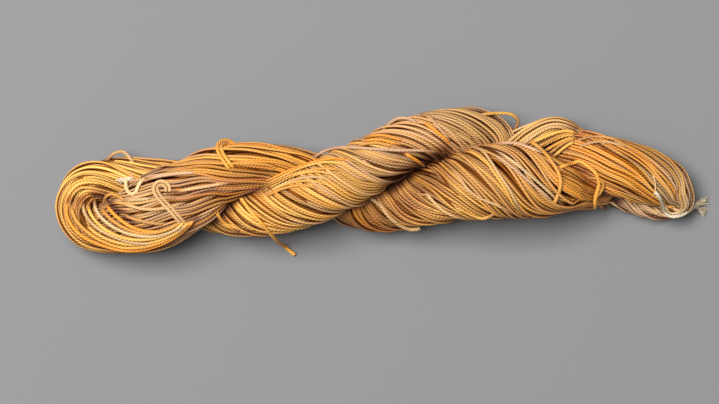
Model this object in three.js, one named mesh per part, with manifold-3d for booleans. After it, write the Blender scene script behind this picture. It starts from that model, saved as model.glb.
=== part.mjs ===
// A twisted hank of hand-dyed linen yarn, lying on its side, in millimetres with +Z up and the table at z = 0.
// The yarn is wound into one ring, twisted hard, folded in half so that its two halves wind round each other,
// and locked by tucking one end of the ring through the loop at the other end.
// The hank is one solid of that wound form. Its ties and loose yarn ends are pieces of their own.

import * as THREE from "three";
import { mergeVertices } from "three/addons/utils/BufferGeometryUtils.js";
import Module from "manifold-3d";

const wasm = await Module();
wasm.setup();

// Driving dimensions
const YARN = 2; // diameter of one yarn
const DOUBLED = 3.6; // width of a tie of two yarns side by side
const NEST = 0.35; // clear space between a yarn and the groove it presses into the hank
const LOCKS = 8; // locks of yarn that stand out round a bundle
const LOCK_HEIGHT = 0.9; // from the hollow between two locks to their crest
const SECTION_STEP = 4.5; // length of bundle between two sections
const TABLE_DEPTH = 30; // of the block that presses the underside flat
const TABLE_SPAN = 400;
const MIDDLE = { x: 3.5, y: -1.1 }; // of the whole piece, in the tables below; the origin is put there
const YARN_SIDES = 8;
const YARN_STEP = 3.8; // length of a tie or loose end between two sections
const END_SEGMENTS = 8; // round the ball that clears the groove at a yarn's end

// Sections of the twisted ring, from its end loop along the first half to the fold, and back along the second.
// Both halves run through the fold. wide and tall are half sizes, across and up; twist is in turns for each 100 mm.
const FOLD = [
  { x: -137, y: -19.5, z: 13, wide: 10.2, tall: 12, twist: -0.6 },
  { x: -140.5, y: -11.2, z: 13, wide: 10, tall: 12, twist: -0.6 },
  { x: -137, y: -3.2, z: 13, wide: 9.6, tall: 12, twist: -0.6 },
];
const FIRST_HALF = [
  { x: 105, y: -7.5, z: 15, wide: 5, tall: 5, twist: 0 }, // end loop, dipping under the tucked end
  { x: 97, y: -5, z: 21, wide: 9, tall: 9, twist: 0 },
  { x: 79.5, y: -2.5, z: 29, wide: 14.5, tall: 11.5, twist: -0.7 },
  { x: 56, y: -0.5, z: 31, wide: 17, tall: 12.5, twist: -1.5 }, // on top
  { x: 33, y: -4.5, z: 25, wide: 14.5, tall: 12.5, twist: -1.5 },
  { x: 12, y: -9.5, z: 14.5, wide: 13.5, tall: 12.5, twist: -1.3 },
  { x: -6, y: -9, z: 12, wide: 14, tall: 12.5, twist: -1.2 }, // underneath
  { x: -23, y: 0, z: 18, wide: 11, tall: 12, twist: -1.3 },
  { x: -41, y: 5, z: 28, wide: 10, tall: 12, twist: -0.6 },
  { x: -58, y: 6, z: 31, wide: 11, tall: 12.5, twist: -0.3 }, // on top
  { x: -73.5, y: 2, z: 31, wide: 13, tall: 12.5, twist: -0.5 },
  { x: -88, y: -7.5, z: 28.5, wide: 16.5, tall: 12.5, twist: -0.5 },
  { x: -108, y: -16.5, z: 21, wide: 17, tall: 12, twist: -0.1 },
  { x: -128.5, y: -23, z: 14, wide: 11, tall: 12, twist: -0.4 },
  ...FOLD,
];
const SECOND_HALF = [
  ...FOLD,
  { x: -128, y: -0.3, z: 13.5, wide: 9.8, tall: 12, twist: -0.6 },
  { x: -111, y: -1, z: 12.5, wide: 10.5, tall: 12.5, twist: -0.5 },
  { x: -92, y: -4.5, z: 11.5, wide: 12.5, tall: 12.5, twist: -0.9 }, // underneath
  { x: -72, y: -11.5, z: 13.5, wide: 13.5, tall: 12.5, twist: -1.3 },
  { x: -51.5, y: -12.5, z: 23, wide: 13.5, tall: 12.5, twist: -1.3 },
  { x: -30.5, y: -7, z: 30.5, wide: 14, tall: 12.5, twist: -1.7 },
  { x: -6, y: 5, z: 32, wide: 13.5, tall: 12.5, twist: -1.6 }, // on top
  { x: 15.5, y: 17, z: 30, wide: 11.5, tall: 12.5, twist: -1.5 },
  { x: 36.5, y: 21.5, z: 23.5, wide: 12, tall: 12, twist: -1.3 },
  { x: 51.5, y: 20, z: 16.5, wide: 12, tall: 12, twist: -1.1 },
  { x: 62.5, y: 13.5, z: 12.5, wide: 10.5, tall: 12, twist: -0.8 },
  { x: 78, y: 12.5, z: 12, wide: 11.5, tall: 12, twist: -0.4 }, // underneath, through the end loop
  { x: 95.5, y: 10.5, z: 20, wide: 12.5, tall: 10, twist: -0.3 },
  { x: 111.5, y: 6, z: 24, wide: 13, tall: 9, twist: -0.45 }, // the tucked end, on top
  { x: 127.5, y: 1.5, z: 20, wide: 12.5, tall: 8.5, twist: -0.6 },
  { x: 139.5, y: -3.5, z: 14.5, wide: 10, tall: 7.5, twist: -0.5 },
  { x: 145, y: -10, z: 10, wide: 6, tall: 7, twist: -0.2 }, // its tip
  { x: 140, y: -13, z: 7, wide: 5, tall: 6.5, twist: -1 },
  { x: 128, y: -12.5, z: 6, wide: 5, tall: 6, twist: -1.5 },
  { x: 118, y: -10, z: 6.5, wide: 4.5, tall: 5.5, twist: -1.5 }, // the turns that come back underneath
  { x: 110, y: -8, z: 9.5, wide: 4, tall: 4, twist: -1 },
];
const END_LOOP = [
  { x: 70, y: -3, z: 27, wide: 8.5, tall: 7, twist: -0.3 }, // inside the first half
  { x: 86.5, y: -5.5, z: 24, wide: 8, tall: 8, twist: -0.3 },
  { x: 101, y: -6.5, z: 17, wide: 7, tall: 7, twist: -0.3 },
  { x: 108.5, y: -5, z: 9, wide: 6.5, tall: 6.5, twist: -0.3 },
  { x: 110.5, y: 1, z: 7, wide: 7, tall: 7, twist: -0.3 }, // under the tucked end
  { x: 106.5, y: 7.5, z: 8, wide: 7, tall: 7, twist: -0.3 },
  { x: 99, y: 14, z: 13, wide: 7, tall: 7, twist: 0.1 },
  { x: 91.5, y: 20, z: 19, wide: 7, tall: 7, twist: 0.3 },
  { x: 83.5, y: 23, z: 21, wide: 7, tall: 7, twist: 0.3 }, // the arch beside it
  { x: 74, y: 20, z: 21, wide: 7, tall: 7, twist: 0.3 },
  { x: 65, y: 15, z: 20, wide: 7, tall: 7, twist: 0.3 },
  { x: 55, y: 8.5, z: 20, wide: 7, tall: 7, twist: 0.2 }, // inside the first half again
];

// Routes of the ties and of the loose yarn, each from where it leaves the hank, by x, y and z.
const LEFT_KNOT = [
  [-102.5, 2.2, 30.4],
  [-106, 0.8, 30.4],
  [-109, -0.8, 30.6],
  [-110.5, -3.4, 31.4],
  [-111.6, -5.9, 31.1],
  [-113.8, -6.6, 29.8],
  [-115.9, -4.7, 27.4],
  [-116.6, -1.5, 25.9],
  [-116.2, 1.6, 25.3],
  [-117.4, 3.4, 25.2],
  [-120, 3.8, 25.1],
];
const LEFT_TAIL = [
  [-88, -21.5, 35.6],
  [-90.5, -18.7, 38.2],
  [-94, -14.5, 39.4],
  [-97.8, -10.6, 39],
  [-100.6, -7.3, 38.2],
  [-102, -4.4, 37.1],
  [-101.1, -2.2, 37],
  [-98.5, -1.6, 38],
  [-96.3, -3.1, 39],
  [-96, -5.6, 39.4],
];
const MIDDLE_LOOP = [
  [-67, 6, 44.3],
  [-69, 8.5, 43.7],
  [-71, 11.5, 41.2],
  [-72.3, 14.3, 38],
  [-72, 16.4, 34.5],
  [-70, 17.6, 31.5],
  [-67.5, 17, 29.5],
  [-65.4, 15.4, 28.5],
];
const MIDDLE_TAIL = [
  [-63.8, -7, 30.6],
  [-61.5, -10, 32.4],
  [-57.3, -15.5, 34],
  [-52.6, -20.6, 33.6],
  [-49, -25, 28.5],
  [-46.8, -27.8, 22],
  [-45.6, -29.2, 15],
  [-44.6, -30.2, 8],
  [-43, -31.5, 2.6],
  [-40.6, -33.6, 1.1],
  [-38, -35.6, 1.1],
];
const RIGHT_TIE = [
  [131.5, -6.2, 26],
  [133.5, -8.8, 24.2],
  [135.4, -11.8, 18.8],
  [136.6, -14.4, 14.4],
  [138.6, -16.6, 12.5],
  [141.4, -17.2, 11.8],
  [145, -16.4, 10.7],
  [148.6, -14.4, 8.6],
  [151.6, -12.6, 5.6],
  [154.2, -13.4, 2.6],
  [157, -15.4, 1.2],
];
const RIGHT_TIE_SECOND_END = [
  [151.2, -12.7, 5.9],
  [153.2, -11.4, 3.6],
  [156.2, -10.4, 1.4],
];
const ARCH_YARN = [
  [74, 17, 28.2],
  [77.5, 14, 31],
  [80, 11, 35],
  [82, 8, 37],
  [84.5, 4, 38.4],
  [85.8, -0.5, 39.4],
  [85.5, -4, 39.4],
  [84.6, -7, 38.9],
  [83.4, -10, 38.2],
];
const TUCK_YARN = [
  [87.5, 6.3, 35],
  [91.8, 7.6, 31],
  [95.5, 8.5, 30.7],
  [99.8, 5.7, 31.8],
  [103, 2.5, 32.3],
  [104.3, -2, 30.2],
  [103.6, -6.1, 27.7],
  [102.9, -9.9, 25.3],
  [103.2, -11.8, 23],
];
const LOWER_END = [
  [-3, -7.8, 24.2],
  [-1, -9.4, 24.8],
  [2.8, -12.2, 24.9],
  [5.6, -16.2, 24.2],
  [9.2, -19.6, 22.7],
  [12.4, -21.8, 20.6],
  [16, -23.2, 18.6],
  [19, -23.3, 18],
  [21.2, -22.7, 18],
];

// Dyes, seen as the mean colour of each piece
const GOLD = 0xd39a4f;
const CREAM = 0xe0bd8c;
const AMBER = 0xd9953a;

function yarnMaterial(color) {
  return new THREE.MeshStandardMaterial({ color, roughness: 0.75, metalness: 0 });
}

// Merges a geometry's vertices by place alone, so that its surface is closed.
function welded(geometry) {
  geometry.deleteAttribute("normal");
  geometry.deleteAttribute("uv");
  return mergeVertices(geometry, 1e-4);
}

function toSolid(geometry) {
  return new wasm.Manifold(
    new wasm.Mesh({
      numProp: 3,
      vertProperties: new Float32Array(geometry.attributes.position.array),
      triVerts: new Uint32Array(geometry.index.array),
    }),
  );
}

function toGeometry(solid) {
  const mesh = solid.getMesh();
  return new THREE.BufferGeometry()
    .setAttribute("position", new THREE.BufferAttribute(mesh.vertProperties, 3))
    .setIndex(new THREE.BufferAttribute(mesh.triVerts, 1));
}

// The evenly spaced sections of a bundle: place, side and up directions, half sizes and turn in radians.
function sectionsOf(rows) {
  const column = (a, b, c) => rows.map((row) => new THREE.Vector3(row[a], row[b], row[c]));
  const path = new THREE.CatmullRomCurve3(column("x", "y", "z"), false, "catmullrom", 0.5);
  const sizes = new THREE.CatmullRomCurve3(column("wide", "tall", "twist"), false, "catmullrom", 0.5);
  const length = path.getLength();
  const count = Math.round(length / SECTION_STEP);
  const up = new THREE.Vector3(0, 0, 1);
  let turn = 0;
  return Array.from({ length: count + 1 }, (_, i) => {
    const t = path.getUtoTmapping(i / count);
    const along = path.getTangent(t);
    const side = up.clone().cross(along).normalize();
    const size = sizes.getPoint(t);
    if (i > 0) turn -= (size.z / 100) * (length / count) * 2 * Math.PI;
    return { place: path.getPoint(t), side, rise: along.clone().cross(side), wide: size.x, tall: size.y, turn };
  });
}

// Turns the faces of a mirrored geometry outwards again.
function turnedOut(geometry) {
  const corner = geometry.index.array;
  for (let i = 0; i < corner.length; i += 3) [corner[i], corner[i + 1]] = [corner[i + 1], corner[i]];
  return geometry;
}

// A closed bundle of yarn through those sections: a cylinder whose rows are bent onto them, with locks along the twist.
// The rows run backwards, so that the edges across each face lean with the twist.
function bundle(rows) {
  const sections = sectionsOf(rows);
  const steps = sections.length - 1;
  const geometry = welded(new THREE.CylinderGeometry(1, 1, 1, 2 * LOCKS, steps));
  const point = geometry.attributes.position;
  for (let i = 0; i < point.count; i++) {
    const section = sections[Math.round((0.5 + point.getY(i)) * steps)];
    const radius = Math.hypot(point.getX(i), point.getZ(i));
    const angle = Math.atan2(point.getZ(i), point.getX(i));
    const lock = (LOCK_HEIGHT / 2) * Math.cos(LOCKS * angle);
    const across = radius * (section.wide + lock) * Math.cos(angle + section.turn);
    const high = radius * (section.tall + lock) * Math.sin(angle + section.turn);
    const place = section.place.clone().addScaledVector(section.side, across).addScaledVector(section.rise, high);
    point.setXYZ(i, place.x, place.y, place.z);
  }
  return toSolid(turnedOut(geometry));
}

// The largest closed surface of a solid, with the pockets sealed between bundles filled and cut-off crumbs left out.
function outerShell(solid) {
  return solid.decompose().reduce((largest, body) => (body.volume() > largest.volume() ? body : largest));
}

// The round section of a yarn and the straight or curved run of it along a route.
function yarn(route, diameter) {
  const path = new THREE.CatmullRomCurve3(route.map((at) => new THREE.Vector3(...at)), false, "catmullrom", 0.5);
  const corners = Array.from({ length: YARN_SIDES }, (_, i) => {
    const angle = (2 * Math.PI * i) / YARN_SIDES;
    return new THREE.Vector2(Math.cos(angle), Math.sin(angle)).multiplyScalar(diameter / 2);
  });
  const steps = Math.round(path.getLength() / YARN_STEP);
  const run = new THREE.ExtrudeGeometry(new THREE.Shape(corners), { extrudePath: path, steps });
  return toSolid(welded(run));
}

// The space a yarn clears for itself in the hank: a wider run with a ball round each end.
function groove(route, diameter) {
  const width = diameter + 2 * NEST;
  const ball = (at) => {
    const round = new THREE.SphereGeometry(width / 2 + NEST / 2, END_SEGMENTS, END_SEGMENTS);
    return toSolid(welded(round.translate(...at)));
  };
  return yarn(route, width).add(ball(route[0])).add(ball(route.at(-1)));
}

const TIES = [
  { name: "tie_left_knot", runs: [LEFT_KNOT], diameter: YARN, color: CREAM },
  { name: "tie_left_tail", runs: [LEFT_TAIL], diameter: DOUBLED, color: CREAM },
  { name: "tie_middle_loop", runs: [MIDDLE_LOOP], diameter: DOUBLED, color: AMBER },
  { name: "tie_middle_tail", runs: [MIDDLE_TAIL], diameter: YARN, color: AMBER },
  { name: "tie_right", runs: [RIGHT_TIE, RIGHT_TIE_SECOND_END], diameter: YARN, color: CREAM },
  { name: "loose_yarn_arch", runs: [ARCH_YARN], diameter: YARN, color: GOLD },
  { name: "loose_yarn_tuck", runs: [TUCK_YARN], diameter: YARN, color: AMBER },
  { name: "loose_yarn_lower", runs: [LOWER_END], diameter: YARN, color: GOLD },
];

const group = new THREE.Group();
group.position.set(-MIDDLE.x, -MIDDLE.y, 0);

function addPiece(name, solid, color) {
  const mesh = new THREE.Mesh(toGeometry(solid), yarnMaterial(color));
  mesh.name = name;
  group.add(mesh);
}

const table = new THREE.BoxGeometry(TABLE_SPAN, TABLE_SPAN, TABLE_DEPTH).translate(0, 0, -TABLE_DEPTH / 2);
let hank = bundle(FIRST_HALF).add(bundle(SECOND_HALF)).add(bundle(END_LOOP)).subtract(toSolid(welded(table)));
for (const tie of TIES) {
  const runs = tie.runs.map((route) => yarn(route, tie.diameter));
  addPiece(tie.name, runs.reduce((whole, run) => whole.add(run)), tie.color);
  for (const route of tie.runs) hank = hank.subtract(groove(route, tie.diameter));
}
addPiece("hank", outerShell(hank), GOLD);

export default group;
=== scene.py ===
"""A twisted hank of hand-dyed linen yarn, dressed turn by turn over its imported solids.

The bundles' sections and the routes of the loose yarn are those of the solids, in millimetres. Each turn is
laid along the sections as a yarn with a dye of its own, so that the strands follow the hank's twist. A route
is lifted or sunk a little where turns are laid under it or over it.
"""

from collections import namedtuple

import bpy
import numpy as np
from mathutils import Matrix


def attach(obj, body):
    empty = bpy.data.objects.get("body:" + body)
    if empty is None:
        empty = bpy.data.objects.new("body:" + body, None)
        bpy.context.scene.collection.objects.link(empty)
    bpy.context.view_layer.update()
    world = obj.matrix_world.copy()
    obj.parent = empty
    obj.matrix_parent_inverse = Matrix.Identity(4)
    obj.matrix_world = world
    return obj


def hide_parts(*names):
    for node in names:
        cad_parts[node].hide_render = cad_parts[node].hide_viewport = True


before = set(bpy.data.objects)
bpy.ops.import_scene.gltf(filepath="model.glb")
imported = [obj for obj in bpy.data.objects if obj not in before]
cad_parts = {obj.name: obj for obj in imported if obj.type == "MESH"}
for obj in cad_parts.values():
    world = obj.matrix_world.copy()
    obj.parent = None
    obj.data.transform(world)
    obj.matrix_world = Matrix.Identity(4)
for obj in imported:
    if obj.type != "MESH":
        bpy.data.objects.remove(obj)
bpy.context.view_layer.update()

# Driving sizes, in millimetres
MM = 0.001
MIDDLE = np.array([3.5, -1.1, 0])  # of the whole piece in the tables below; the origin is put there
YARN = 2.0
DOUBLED = 3.6  # two yarns side by side
TURN = 1.5  # a turn of the hank, drawn tighter than a tie
TURN_PITCH = 1.38  # from turn to turn where they lie side by side
TWIST_LENGTH = 100  # in which a bundle makes the turns that its twist says
BUNDLE_STEP = 1.1
YARN_STEP = 0.8
SPLINE_PARTS = 40  # from point to point of a curve, before its steps are made even
YARN_SIDES = 6
NEARLY_UP = np.array([0.02, 0.03, 1])  # no yarn runs straight along it
TIE_SEED = 7
HANK_SEED = 4

# A wave along the strands: how strong it is, and the length in which it comes and goes
Wave = namedtuple("Wave", "size length")

# How the turns of a bundle lie
RING_TURNS = 84
RING_PIECES = 4
LOOP_TURNS = 42
LOCK = 3  # turns that keep together
TOGETHER = 0.75  # the part of a wave that a lock has in common
ALONE = 0.65  # the part that each turn has by itself
RANK = Wave(1.7, 60)  # decides which turns come to the surface first
RANK_EDGE = 0.25  # the share of the ranks that are on their way down
DIVE = 1.7  # how far a turn goes down where it has no room at the surface
LOOSE_LENGTH = 70  # in which a turn becomes loose and tight again
LOOSE_FROM = 0.5  # of a wave of strength 1; turns are loose above that
RISE = 1.1  # how far a loose turn stands off the others
LEAST_ROOM = 0.1  # to the sides, as a share, of a turn that has gone down
ROOM_LOST = 0.7  # by a turn that stands off
SEAT = Wave(0.55, 28)  # to the sides, in turns
LOOSE_SEAT = Wave(2.5, 50)
HEIGHT = Wave(0.4, 45)
KINK = Wave(0.08, 9)
LEAST_RADIUS = 0.4  # of the line that the turns are laid on
TABLE_GAP = 0.6 * TURN  # from the table to the middle of a turn
SLUB = Wave(0.05, 22)  # of a turn's diameter
SLUB_OWN = 0.05
SLUB_LIMITS = (0.8, 1.2)

# What shows between the turns
UNDER_TURNS = 52
UNDER_DEPTH = 1.7
UNDER_SIDES = 5
UNDER_STRIDE = 2  # steps of the bundle to one of these turns
UNDER_LIGHT = (0.3, 0.62)  # along the ring, and in its tucked end, where the gaps are shallow
UNDER_CHANGE = (520, 550)  # along the ring, from the one light to the other
LEAST_UNDER = 1.0
# painted shade: a dark brown tube inside each bundle, in place of the unlit turns there
CORE_PAINTED_SHADE = "shade_umber"
CORE_DEPTH = 4.0
CORE_SIDES = 16
CORE_STRIDE = 4  # steps of the bundle to one of the core
LEAST_CORE = 0.5

# Roots of the yarn that goes down between the turns, and slack turns that lie over them
ROOT_DEPTH = 4.0
ROOT_LENGTH = 12.0
SHORT_ROOT = 5.0
ROOT_MOST = 1 / 3  # of the length of a slack turn
ROOT_DYE = "tan"  # to which a slack turn fades as it goes down
ROOT_SHADE = 0.6  # the light that it loses there
NEST = 0.65  # the share of its height over the turns that is left as a slack one settles
SETTLE_POINTS = 9  # over which the height of a slack turn is evened out
SETTLE_PASSES = 3
SWAY = Wave(0.4, 20)
SHEAF_POINTS = 60
SHEAF_STEP = 0.2  # along the first and last lines, to find those points

# Frayed ends
FRAY_FIBRES = 56
FRAY_LENGTH = 3.8
FRAY_SHARES = (0.5, 1)  # of that length, from the shortest fibre to the longest
FRAY_BACK = 0.3  # the share of a fibre that lies back in the yarn
FRAY_POINTS = 8
FRAY_BEND = 0.3
FRAY_SPREAD = 0.5
FRAY_LOWEST = 0.15  # over the table
FRAY_DIAMETER = 0.34
FRAY_SIDES = 4
FRAY_DYE = "chalk"

# Shade between and under the bundles
CONTACT_REACH = 6.0  # of the shade where two stretches of bundle touch
CONTACT_STRIDE = 3  # steps of a bundle from one section that shades to the next
CONTACT_SLICE = 2 * BUNDLE_STEP  # ahead of such a section and behind it, where turns are in its shade
AWAY = np.array([0.9, -0.43])  # from the light, seen from above
EVEN_SHADE = 0.45  # of a contact, to all sides
AWAY_SHADE = 0.55  # added on the side away from the light, and taken off on the other
NEXT_STRETCH = 45  # along a bundle, to where it counts as another stretch
OTHER_BUNDLE = 10000  # added to the lengths along a bundle, to tell it from another
COVER_REACH = 3.0  # of the shade under a turn that is laid over the others
COVER_LIGHT = 0.4
LEAST_LIGHT = 0.1
SHADE_TINT = np.array([1, 1.35, 1.55])  # how fast each colour of light is lost in the shade

# How the dyes vary from strand to strand and along each one
DYE_SHIFT = 14  # of the patches along the ring
STREAK_LENGTH = 55
STREAK_OWN = 0.6
STREAK_PULL = 2.2  # of the second dye's share
STREAK_EDGE = 5  # how sharply one dye goes over to the other
TONE = Wave(0.1, 25)
TONE_OWN = 0.16
TONE_LIMITS = (0.6, 1.25)
PLAIN_TONE = Wave(0.06, 8)
PLAIN_TONE_OWN = 0.1

# The surface of the yarn
PLIES = 3
PLY_LAY = 5.0  # length in which the plies go once round each other
LAY_LEAST = 0.9  # of that, from strand to strand
LAY_SPREAD = 0.2
LAY_SHARE = 0.618  # of the spread, from one strand to the next
LAY_SHIFT = 2.37
PLY_PAINTED_SHADE = (0.62, 1.14)  # of the dye: painted shade between the plies, going over to a painted highlight on their crowns
PLY_RELIEF = 0.3
FIBRE_STRETCH = (0.5, 14, 1)  # of the noise, for each millimetre along the yarn and once round it
FIBRE_DETAIL = 3
FIBRE_TONE = (0.7, 1.3)
FIBRE_ROUGHNESS = (0.4, 0.62)
FIBRE_RELIEF = 0.35  # of the plies' relief
RELIEF_STRENGTH = 0.7
OPEN_SLOPE = 1.6  # how the light falls off from the outer side of a strand to its inner side
OPEN_START = -0.2
PAINTED_GAP_SHADE = (0.18, 0.085, 0.038)  # painted shade: the share of the dye that is left on the inner side of a turn, where no light gets in
# the same painted shade, lighter, on the inner sides of the ties and of the frayed fibres
TIE_PAINTED_GAP_SHADE = (0.68, 0.56, 0.44)
FRAY_PAINTED_GAP_SHADE = (0.9, 0.86, 0.8)
YARN_SHEEN = 0.55
FRAY_SHEEN = 0.2

# Camera, floor and light; lengths of the floor and the light are in metres
CAMERA_HEIGHT = 1300
CAMERA_AT = (-7.285, -10.34)
VIEW_WIDTH = 343.2  # across the picture, on the table
SENSOR = 36
FLOOR_REACH = 3
FLOOR_GREY = (0.21, 0.21, 0.215, 1)
FLOOR_ROUGHNESS = 0.8
FLOOR_SHEEN = 0.2
SKY_STRENGTH = 0.19
LAMP_AT = (-0.8, 0.55, 2.4)
LAMP_SIZE = 1.4
LAMP_POWER = 114

# Sections of the bundles: wide and tall are half sizes, twist is in turns for each TWIST_LENGTH
Section = namedtuple("Section", "x y z wide tall twist")
FIRST_HALF = [
    Section(105, -7.5, 15, 5, 5, 0),
    Section(97, -5, 21, 9, 9, 0),
    Section(79.5, -2.5, 29, 14.5, 11.5, -0.7),
    Section(56, -0.5, 31, 17, 12.5, -1.5),
    Section(33, -4.5, 25, 14.5, 12.5, -1.5),
    Section(12, -9.5, 14.5, 13.5, 12.5, -1.3),
    Section(-6, -9, 12, 14, 12.5, -1.2),
    Section(-23, 0, 18, 11, 12, -1.3),
    Section(-41, 5, 28, 10, 12, -0.6),
    Section(-58, 6, 31, 11, 12.5, -0.3),
    Section(-73.5, 2, 31, 13, 12.5, -0.5),
    Section(-88, -7.5, 28.5, 16.5, 12.5, -0.5),
    Section(-108, -16.5, 21, 17, 12, -0.1),
    Section(-128.5, -23, 14, 11, 12, -0.4),
]
FOLD = [
    Section(-137, -19.5, 13, 10.2, 12, -0.6),
    Section(-140.5, -11.2, 13, 10, 12, -0.6),
    Section(-137, -3.2, 13, 9.6, 12, -0.6),
]
SECOND_HALF = [
    Section(-128, -0.3, 13.5, 9.8, 12, -0.6),
    Section(-111, -1, 12.5, 10.5, 12.5, -0.5),
    Section(-92, -4.5, 11.5, 12.5, 12.5, -0.9),
    Section(-72, -11.5, 13.5, 13.5, 12.5, -1.3),
    Section(-51.5, -12.5, 23, 13.5, 12.5, -1.3),
    Section(-30.5, -7, 30.5, 14, 12.5, -1.7),
    Section(-6, 5, 32, 13.5, 12.5, -1.6),
    Section(15.5, 17, 30, 11.5, 12.5, -1.5),
    Section(36.5, 21.5, 23.5, 12, 12, -1.3),
    Section(51.5, 20, 16.5, 12, 12, -1.1),
    Section(62.5, 13.5, 12.5, 10.5, 12, -0.8),
    Section(78, 12.5, 12, 11.5, 12, -0.4),
    Section(95.5, 10.5, 20, 12.5, 10, -0.3),
    Section(111.5, 6, 24, 13, 9, -0.45),
    Section(127.5, 1.5, 20, 12.5, 8.5, -0.6),
    Section(139.5, -3.5, 14.5, 10, 7.5, -0.5),
    Section(145, -10, 10, 6, 7, -0.2),
    Section(140, -13, 7, 5, 6.5, -1),
    Section(128, -12.5, 6, 5, 6, -1.5),
    Section(118, -10, 6.5, 4.5, 5.5, -1.5),
    Section(110, -8, 9.5, 4, 4, -1),
]
RING = FIRST_HALF + FOLD + SECOND_HALF
END_LOOP = [
    Section(70, -3, 27, 8.5, 7, -0.3),
    Section(86.5, -5.5, 24, 8, 8, -0.3),
    Section(101, -6.5, 17, 7, 7, -0.3),
    Section(108.5, -5, 9, 6.5, 6.5, -0.3),
    Section(110.5, 1, 7, 7, 7, -0.3),
    Section(106.5, 7.5, 8, 7, 7, -0.3),
    Section(99, 14, 13, 7, 7, 0.1),
    Section(91.5, 20, 19, 7, 7, 0.3),
    Section(83.5, 23, 21, 7, 7, 0.3),
    Section(74, 20, 21, 7, 7, 0.3),
    Section(65, 15, 20, 7, 7, 0.3),
    Section(55, 8.5, 20, 7, 7, 0.2),
]

# Routes of the ties and the loose yarn, from where each leaves the hank
LEFT_KNOT = [
    (-102.5, 2.2, 30.4), (-106, 0.8, 30.4), (-109, -0.8, 30.6), (-110.5, -3.4, 31.4), (-111.6, -5.9, 31.1),
    (-113.8, -6.6, 29.8), (-115.9, -4.7, 27.4), (-116.6, -1.5, 25.9), (-116.2, 1.6, 25.3),
    (-117.4, 3.4, 25.2), (-120, 3.8, 25.1),
]
LEFT_TAIL = [
    (-88, -21.5, 35.6), (-90.5, -18.7, 38.2), (-94, -14.5, 39.4), (-97.8, -10.6, 39), (-100.6, -7.3, 38.2),
    (-102, -4.4, 37.1), (-101.1, -2.2, 37), (-98.5, -1.6, 38), (-96.3, -3.1, 39), (-96, -5.6, 39.4),
]
MIDDLE_LOOP = [
    (-67, 6, 44.3), (-69, 8.5, 43.7), (-71, 11.5, 41.2), (-72.3, 14.3, 38), (-72, 16.4, 34.5),
    (-70, 17.6, 31.5), (-67.5, 17, 29.5), (-65.4, 15.4, 28.5),
]
MIDDLE_TAIL = [
    (-63.8, -7, 30.6), (-61.5, -10, 32.4), (-57.3, -15.5, 34), (-52.6, -20.6, 33.6), (-49, -25, 28.5),
    (-46.8, -27.8, 22), (-45.6, -29.2, 15), (-44.6, -30.2, 8), (-43, -31.5, 2.6), (-40.6, -33.6, 1.1),
    (-38, -35.6, 1.1),
]
RIGHT_TIE = [
    (131.5, -6.2, 26), (133.5, -8.8, 24.2), (135.4, -11.8, 18.8), (136.6, -14.4, 14.4),
    (138.6, -16.6, 12.5), (141.4, -17.2, 11.8), (145, -16.4, 10.7), (148.6, -14.4, 8.6),
    (151.6, -12.6, 5.6), (154.2, -13.4, 2.6), (157, -15.4, 1.2),
]
RIGHT_TIE_LIFT = [0, 0, 0, 0, 0.6, 1.6, 2.4, 3, 2.8, 1, 0]
RIGHT_TIE_SECOND_END = [(151.2, -12.7, 5.9), (153.2, -11.4, 3.6), (156.2, -10.4, 1.4)]
ARCH_YARN = [
    (74, 17, 28.2), (77.5, 14, 31), (80, 11, 35), (82, 8, 37), (84.5, 4, 38.4), (85.8, -0.5, 39.4),
    (85.5, -4, 39.4), (84.6, -7, 38.9), (83.4, -10, 38.2),
]
TUCK_YARN = [
    (87.5, 6.3, 35), (91.8, 7.6, 31), (95.5, 8.5, 30.7), (99.8, 5.7, 31.8), (103, 2.5, 32.3),
    (104.3, -2, 30.2), (103.6, -6.1, 27.7), (102.9, -9.9, 25.3), (103.2, -11.8, 23),
]
LOWER_END = [
    (-3, -7.8, 24.2), (-1, -9.4, 24.8), (2.8, -12.2, 24.9), (5.6, -16.2, 24.2), (9.2, -19.6, 22.7),
    (12.4, -21.8, 20.6), (16, -23.2, 18.6), (19, -23.3, 18), (21.2, -22.7, 18),
]
# far_end is None where a yarn is too short to count as a cord
# lift is how far the turns that are laid under it carry it up, all along or at each point
# sunk is the number of points, from its start, that the turns lie over
Tie = namedtuple("Tie", "name node route diameter dye slot far_end lift sunk", defaults=[0, 0])
TIES = [
    Tie("left_knot", "tie_left_knot", LEFT_KNOT, YARN, "cream", "cream_tie", "bare", lift=0.5, sunk=2),
    Tie("left_tail", "tie_left_tail", LEFT_TAIL, DOUBLED, "tan", "cream_tie", "bare"),
    Tie("middle_loop", "tie_middle_loop", MIDDLE_LOOP, DOUBLED, "amber", "amber_tie", None),
    Tie("middle_tail", "tie_middle_tail", MIDDLE_TAIL, YARN, "amber", "amber_tie", "bare"),
    Tie("right_tie", "tie_right", RIGHT_TIE, YARN, "chalk", "cream_tie", "bare", lift=RIGHT_TIE_LIFT),
    Tie("right_tie_second_end", "tie_right", RIGHT_TIE_SECOND_END, YARN, "chalk", "cream_tie", None),
    Tie("arch_yarn", "loose_yarn_arch", ARCH_YARN, YARN, "honey", "yarn", "object"),
    Tie("tuck_yarn", "loose_yarn_tuck", TUCK_YARN, YARN, "amber", "amber_tie", "object"),
    Tie("lower_end", "loose_yarn_lower", LOWER_END, YARN, "tan", "yarn", "bare"),
]
# Frayed ends: the steps of the yarn that are fibres only, and the ways these lie, or None where they go on
Fray = namedtuple("Fray", "steps headings")
FRAYS = {
    "left_knot": Fray(8, [(-1, 0.1, 0), (-1, -0.1, 0), (1, 0.05, 0)]),
    "right_tie": Fray(3, None),
    "right_tie_second_end": Fray(3, None),
}
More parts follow.
